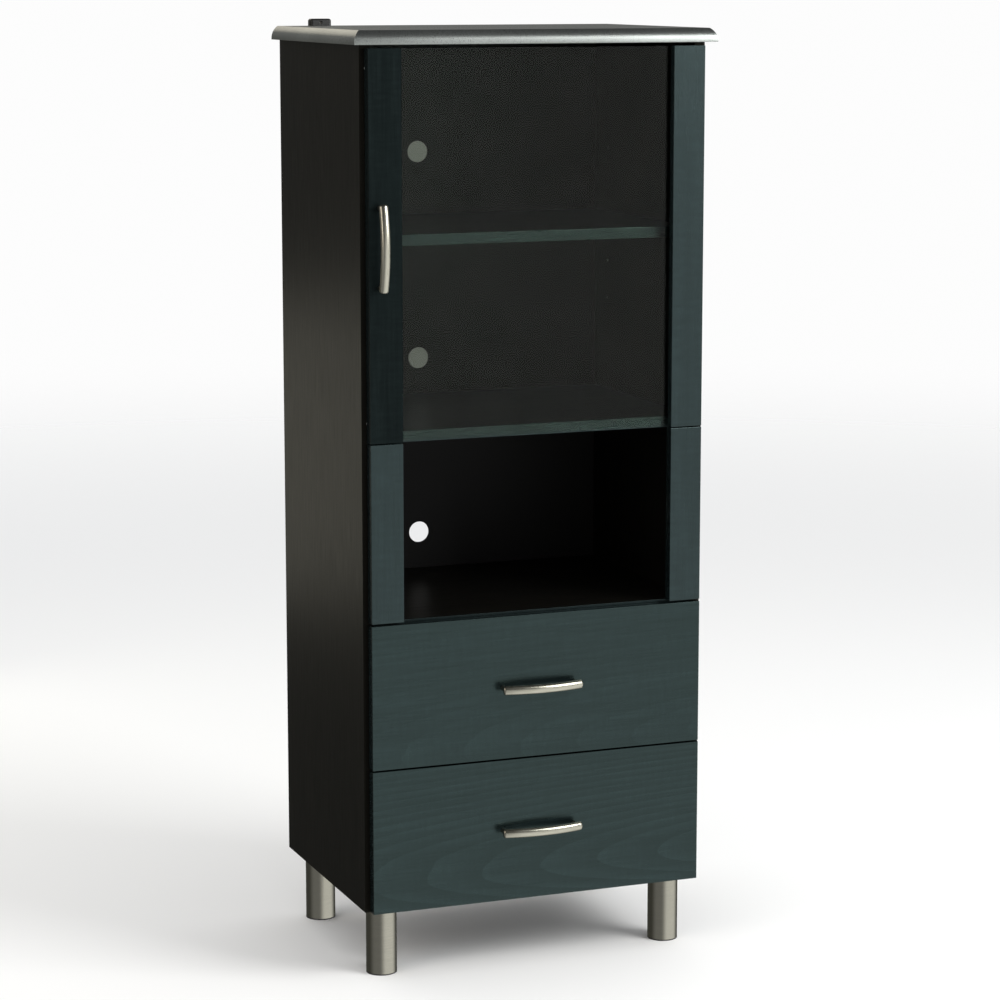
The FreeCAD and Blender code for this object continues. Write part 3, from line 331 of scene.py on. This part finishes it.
# ------------------------------------------------------------------- legs and glides
# Each leg is a steel tube, plated and brushed to satin nickel, screwed up to the bottom
# board by a stud. A black polyethylene glide plugs its end and shows as a thin dark line.
def satin_nickel_metal(name, around, stops, roughness):
    """Brushed nickel plate: fine lines that run round the tube or along the bar."""
    material, tree = start_material(name)
    place = add(tree, "TexCoord").outputs["Object"]
    # Brushing lines are hundredths of a millimetre apart; these are drawn half a millimetre.
    line_mm, run_mm = 0.5, 24
    scale = [1 / (run_mm * MM)] * 3
    scale["XYZ".index(around)] = 1 / (line_mm * MM)
    lines_map = add(tree, "Mapping", {"Vector": place, "Scale": scale})
    lines = add(tree, "TexNoise", {"Vector": lines_map.outputs[0], "Scale": 1.0,
                                   "Detail": 3.0, "Roughness": 0.6})
    colour = add(tree, "ValToRGB", {"Fac": lines.outputs[0]})
    set_ramp(colour, stops)
    gloss = add(tree, "MapRange", {"Value": lines.outputs[0], 1: 0.3, 2: 0.7,
                                   3: roughness - 0.02, 4: roughness + 0.03})
    relief = add(tree, "Bump", {"Height": lines.outputs[0], "Strength": 0.03,
                                "Distance": 0.02 * MM})
    shader = add(tree, "BsdfPrincipled", {
        "Base Color": colour.outputs[0],
        "Metallic": 1.0,
        "Roughness": gloss.outputs[0],
        "Normal": relief.outputs[0],
    })
    add(tree, "OutputMaterial", {"Surface": shader.outputs[0]})
    return material


nickel_leg = satin_nickel_metal("satin_nickel_tube", "Z",
                                ((0.3, "#949287"), (0.5, "#9a988c"), (0.7, "#a09e92")), 0.24)
dress(nickel_leg, "leg_front_left", "leg_front_right", "leg_rear_left", "leg_rear_right")


def moulded_plastic(name, stops, roughness, grit_mm):
    """Injection-moulded plastic with the spark-eroded texture of its mould."""
    material, tree = start_material(name)
    place = add(tree, "TexCoord").outputs["Object"]
    grit = add(tree, "TexVoronoi", {"Vector": place, "Scale": 1 / (grit_mm * MM)})
    cloud_mm = 12
    cloud = add(tree, "TexNoise", {"Vector": place, "Scale": 1 / (cloud_mm * MM), "Detail": 3.0})
    colour = add(tree, "ValToRGB", {"Fac": cloud.outputs[0]})
    set_ramp(colour, stops)
    gloss = add(tree, "MapRange", {"Value": cloud.outputs[0], 1: 0.3, 2: 0.7,
                                   3: roughness - 0.04, 4: roughness + 0.06})
    relief = add(tree, "Bump", {"Height": grit.outputs[0], "Strength": 0.25,
                                "Distance": 0.08 * MM})
    shader = add(tree, "BsdfPrincipled", {
        "Base Color": colour.outputs[0],
        "Roughness": gloss.outputs[0],
        "IOR": 1.5,
        "Normal": relief.outputs[0],
    })
    add(tree, "OutputMaterial", {"Surface": shader.outputs[0]})
    return material


polyethylene = moulded_plastic("black_polyethylene", ((0.3, "#0e0e0e"), (0.7, "#191918")), 0.5, 0.9)
dress(polyethylene, "leg_glides")


# ------------------------------------------------------------------- anti-tip bracket
# A small moulded block of black ABS on the back edge of the top, with rounded front corners
# and a hole for the strap that ties the cabinet to a wall.
abs_black = moulded_plastic("black_abs", ((0.3, "#0c0d0d"), (0.7, "#151716")), 0.4, 0.9)
dress(abs_black, "anti_tip_bracket", "glass_clips", "lower_drawer_guides", "upper_drawer_guides")


# ------------------------------------------------------------------- stiles of the open bay
# Two upright boards with the charcoal print stand in line with the door's stiles, screwed
# from behind to battens. Their grain stands upright, with faint ripples across it.
charcoal_upright = grain_laminate("charcoal_melamine_upright", "Z", CHARCOAL_STOPS, 0.24,
                                  CHARCOAL_SHEEN, ripple=0.4)
for side in ("left", "right"):
    node = f"bay_stile_{side}"
    settle(eased(node, charcoal_upright), node, "case")
settle(eased("bay_stile_battens", black_upright), "bay_stile_battens", "case")


# ------------------------------------------------------------------- drawers
# Each front is one board with the charcoal print laid level, with a faint cathedral figure
# that is fainter still in the upper one. The boxes behind are black melamine on painted
# steel runners.
def ring_centre(level, side_shift):
    """Moves the heart of the rings behind the face at the given height."""
    return (0.0, 0.196 + side_shift, -level)


FRONT_SHEEN = (0.44, "#d8fffb")
figures = {
    "lower": (ring_centre(0.172, 0.045), 0.22),
    "upper": (ring_centre(0.372, 0.07), 0.1),
}
for level, rings in figures.items():
    body = f"{level}_drawer"
    charcoal_front = grain_laminate(f"charcoal_melamine_{level}_front", "X", CHARCOAL_STOPS,
                                    0.24, FRONT_SHEEN, rings=rings)
    front = f"{body}_front"
    settle(eased(front, charcoal_front), front, body)
    for part in ("side_left", "side_right"):
        node = f"{body}_{part}"
        settle(eased(node, black_deep), node, body)
    node = f"{body}_back"
    settle(eased(node, black_level), node, body)

runner_paint = moulded_plastic("black_epoxy_paint", ((0.3, "#121212"), (0.7, "#1d1d1d")), 0.38, 0.6)
dress(runner_paint, "lower_drawer_runners", "upper_drawer_runners")


# ------------------------------------------------------------------- door
# Two charcoal stiles are joined only by a 4 mm toughened pane, which lies in their rebates
# under six black clips. The stile with the handle has the same print with its sheen cut low:
# painted shade, so that it reads darker than the other stiles, as if it mirrored something dark.
SHADED_STILE_STOPS = ((0.32, "#080b0c"), (0.5, "#0e1313"), (0.7, "#161c1c"))
shaded_stile_upright = grain_laminate("charcoal_melamine_shaded_upright", "Z", SHADED_STILE_STOPS, 0.24, (0.06, "#d8ffff"))
settle(eased("door_stile_left", shaded_stile_upright), "door_stile_left", "door")
settle(eased("door_stile_right", charcoal_upright), "door_stile_right", "door")


def float_glass(name, tint, ior, film_mm):
    """Toughened float glass: clear, with a hardly visible film of handling marks."""
    material, tree = start_material(name)
    place = add(tree, "TexCoord").outputs["Object"]
    film = add(tree, "TexNoise", {"Vector": place, "Scale": 1 / (film_mm * MM), "Detail": 3.0})
    gloss = add(tree, "MapRange", {"Value": film.outputs[0], 1: 0.45, 2: 0.75, 3: 0.0, 4: 0.05})
    colour = add(tree, "ValToRGB", {"Fac": film.outputs[0]})
    set_ramp(colour, tint)
    shader = add(tree, "BsdfPrincipled", {
        "Base Color": colour.outputs[0],
        "Roughness": gloss.outputs[0],
        "IOR": ior,
        "Transmission Weight": 1.0,
    })
    add(tree, "OutputMaterial", {"Surface": shader.outputs[0]})
    return material


# Its index is below that of real glass, which is 1.52, so that the pane mirrors the studio
# only faintly.
pane_glass = float_glass("toughened_float_glass", ((0.3, "#dbe8dd"), (0.7, "#e6f0e7")), 1.19, 70)
dress(pane_glass, "door_glass")

hinge_plate = plated_metal("nickel_plated_hinge", ("#8f9193", "#9b9d9e"), 0.3, 5.0)
dress(hinge_plate, "hinge_case_leaves", "hinge_door_leaves", "hinge_pins")
dress(abs_black, "magnetic_catch")


def soft_polyurethane(name):
    """Clear polyurethane drops, a little cloudy, cast soft and tacky."""
    material, tree = start_material(name)
    place = add(tree, "TexCoord").outputs["Object"]
    cloud_mm = 3
    cloud = add(tree, "TexNoise", {"Vector": place, "Scale": 1 / (cloud_mm * MM), "Detail": 2.0})
    colour = add(tree, "ValToRGB", {"Fac": cloud.outputs[0]})
    set_ramp(colour, ((0.3, "#b9bdb8"), (0.7, "#d4d8d3")))
    shader = add(tree, "BsdfPrincipled", {
        "Base Color": colour.outputs[0],
        "Roughness": 0.25,
        "IOR": 1.48,
        "Transmission Weight": 0.6,
    })
    add(tree, "OutputMaterial", {"Surface": shader.outputs[0]})
    return material


dress(soft_polyurethane("clear_polyurethane"), "door_bumpers")


# ------------------------------------------------------------------- handles
# Bow handles of die-cast zinc, plated and brushed to a satin nickel that is brighter than
# the legs. Two posts are bolted through each front from behind.
NICKEL_STOPS = ((0.3, "#9c9a8b"), (0.5, "#aaa89a"), (0.7, "#b9b7aa"))
nickel_bar = satin_nickel_metal("satin_nickel_bar", "Z", NICKEL_STOPS, 0.28)
nickel_upright = satin_nickel_metal("satin_nickel_bar_upright", "X", NICKEL_STOPS, 0.28)
dress(nickel_bar, "lower_drawer_handle", "upper_drawer_handle")
dress(nickel_upright, "door_handle")


# ------------------------------------------------------------------- floor, light, camera
# The cabinet stands on a pale studio floor that fades into a white backdrop, in the soft
# light of diffusers. The floor and the backdrop are kept out of the mirror images, which
# show a room of their own.
FLOOR_RADIUS = 9.0
floor_mesh = bpy.data.meshes.new("studio_floor")
work = bmesh.new()
bmesh.ops.create_circle(work, cap_ends=True, radius=FLOOR_RADIUS, segments=96)
work.to_mesh(floor_mesh)
work.free()
floor = bpy.data.objects.new("studio_floor", floor_mesh)
bpy.context.scene.collection.objects.link(floor)
floor_material, tree = start_material("pale_paper_floor")
place = add(tree, "TexCoord").outputs["Object"]
reach = add(tree, "VectorMath", {0: place}, operation="LENGTH")
fade = add(tree, "MapRange", {"Value": reach.outputs["Value"], 1: 2.5, 2: FLOOR_RADIUS - 1},
           interpolation_type="SMOOTHSTEP")
paper = add(tree, "BsdfDiffuse", {"Color": linear("#f4f4f2")})
clear = add(tree, "BsdfTransparent")
blend = add(tree, "MixShader", {0: fade.outputs[0], 1: paper.outputs[0], 2: clear.outputs[0]})
add(tree, "OutputMaterial", {"Surface": blend.outputs[0]})
floor_mesh.materials.append(floor_material)
floor.visible_glossy = False

world = bpy.data.worlds.new("studio")
bpy.context.scene.world = world
world.use_nodes = True
tree = world.node_tree
tree.nodes.clear()
ray = add(tree, "LightPath")
direction = add(tree, "TexCoord").outputs["Generated"]
axes = add(tree, "SeparateXYZ", {0: direction})
rise = add(tree, "MapRange", {"Value": axes.outputs[2], 1: -0.3, 2: 0.7})
# What the gloss mirrors: a light room in front of the cabinet and a dim one behind it.
front_room = add(tree, "ValToRGB", {"Fac": rise.outputs[0]})
set_ramp(front_room, ((0.0, "#dcdcdc"), (0.3, "#d0d0d0"), (0.5, "#6c6c6c"), (0.8, "#242424")))
rear_room = add(tree, "ValToRGB", {"Fac": rise.outputs[0]})
set_ramp(rear_room, ((0.1, "#555551"), (0.3, "#6f6f6a"), (0.46, "#929290"), (0.8, "#343434")))
behind = add(tree, "MapRange", {"Value": axes.outputs[1], 1: -0.35, 2: 0.45},
             interpolation_type="SMOOTHSTEP")
diffusers = add(tree, "Background", {"Color": linear("#fbfcff"), "Strength": 0.85})
backdrop = add(tree, "Background", {"Color": linear("#ffffff"), "Strength": 0.98})
# The light side of the room lies to the right, so round metal goes from dark to bright.
rightward = add(tree, "MapRange", {"Value": axes.outputs[0], 1: -0.45, 2: 0.25,
                                   3: 0.45, 4: 1.86}, interpolation_type="SMOOTHSTEP")
front_gloss = add(tree, "Background", {"Color": front_room.outputs[0],
                                       "Strength": rightward.outputs[0]})
rear_gloss = add(tree, "Background", {"Color": rear_room.outputs[0], "Strength": 1.0})
mirrored = add(tree, "MixShader", {0: behind.outputs[0], 1: front_gloss.outputs[0],
                                   2: rear_gloss.outputs[0]})
lit = add(tree, "MixShader", {0: ray.outputs["Is Glossy Ray"], 1: diffusers.outputs[0],
                              2: mirrored.outputs[0]})
shown = add(tree, "MixShader", {0: ray.outputs["Is Camera Ray"], 1: lit.outputs[0],
                                2: backdrop.outputs[0]})
add(tree, "OutputWorld", {"Surface": shown.outputs[0]})

centre = (Vector(cad_box[0]) + Vector(cad_box[1])) / 2


def softbox(name, azimuth, elevation, distance, width, height, watts, colour):
    """A large diffuser that faces the middle of the cabinet."""
    lamp = bpy.data.lights.new(name, "AREA")
    lamp.shape = "RECTANGLE"
    lamp.size = width
    lamp.size_y = height
    lamp.energy = watts
    lamp.color = linear(colour)[:3]
    holder = bpy.data.objects.new(name, lamp)
    bpy.context.scene.collection.objects.link(holder)
    away = Vector((math.sin(azimuth) * math.cos(elevation),
                   -math.cos(azimuth) * math.cos(elevation), math.sin(elevation)))
    holder.location = centre + away * distance
    holder.rotation_euler = away.to_track_quat("Z", "Y").to_euler()
    holder.visible_camera = False
    return holder


softbox("key_softbox", math.radians(42), math.radians(28), 3.6, 1.8, 1.8, 95, "#ffffff")
softbox("fill_softbox", math.radians(-70), math.radians(20), 4.0, 1.6, 2.2, 25, "#fff4e8")
# Low behind the left side: it lays a long soft sheen across the middle of the side panel.
softbox("side_softbox", math.radians(-150), math.radians(-6.5), 2.3, 1.3, 0.7, 2.0, "#fffbe8")
# Higher behind: it lights the left moulding and the back edge of the top.
softbox("rear_softbox", math.radians(-172), math.radians(38), 2.6, 1.2, 0.8, 4.4, "#fff6e4")

# Eye height, in front and to the left of the door, with a long lens.
camera_data = bpy.data.cameras.new("camera")
camera_data.lens = 111.0
camera_data.sensor_width = 36.0
camera_data.clip_end = 100.0
camera = bpy.data.objects.new("camera", camera_data)
bpy.context.scene.collection.objects.link(camera)
camera_azimuth = math.radians(-21.30)
camera_elevation = math.radians(9.71)
camera_distance = 5.107
aim = Vector((0.0081, -0.0032, 0.7405))
away = Vector((math.sin(camera_azimuth) * math.cos(camera_elevation),
               -math.cos(camera_azimuth) * math.cos(camera_elevation),
               math.sin(camera_elevation)))
camera.location = aim + away * camera_distance
camera.rotation_euler = away.to_track_quat("Z", "Y").to_euler()
bpy.context.scene.camera = camera
bpy.context.scene.view_settings.view_transform = "Standard"
